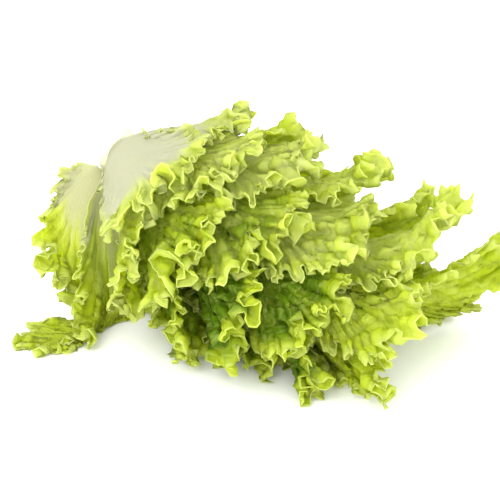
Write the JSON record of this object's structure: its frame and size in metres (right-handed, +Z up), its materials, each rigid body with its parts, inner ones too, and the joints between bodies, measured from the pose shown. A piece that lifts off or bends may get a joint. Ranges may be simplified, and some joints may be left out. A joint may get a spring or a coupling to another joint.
{
  "type": "lollo bionda lettuce",
  "caption": "Head of frilly pale green loose-leaf lettuce with its cut stem, lying on its side with its outer leaves fallen open.",
  "frame": {"origin": "on the surface that the head lies on, under the middle of its length and width", "axes": "+X from the cut stem's end to the heart's end, +Y away from the viewer, +Z up"},
  "size_m": [0.2835, 0.1779, 0.1186],
  "materials": {
    "leaf": "soft satin, thin and translucent",
    "stem": "moist satin"
  },
  "bodies": {
    "root": {"stem": "stem", "leaf_01": "leaf", "leaf_02": "leaf", "leaf_03": "leaf", "leaf_04": "leaf", "leaf_05": "leaf", "leaf_06": "leaf", "leaf_07": "leaf", "leaf_08": "leaf", "leaf_09": "leaf", "leaf_10": "leaf", "leaf_11": "leaf", "leaf_12": "leaf", "leaf_13": "leaf", "leaf_14": "leaf", "leaf_15": "leaf", "leaf_16": "leaf", "leaf_17": "leaf", "leaf_18": "leaf", "leaf_19": "leaf", "leaf_20": "leaf", "leaf_21": "leaf", "leaf_22": "leaf", "leaf_23": "leaf", "leaf_24": "leaf", "leaf_25": "leaf", "leaf_26": "leaf", "leaf_27": "leaf", "leaf_28": "leaf", "leaf_29": "leaf", "leaf_30": "leaf", "leaf_31": "leaf", "leaf_32": "leaf"}
  },
  "joints": []
}
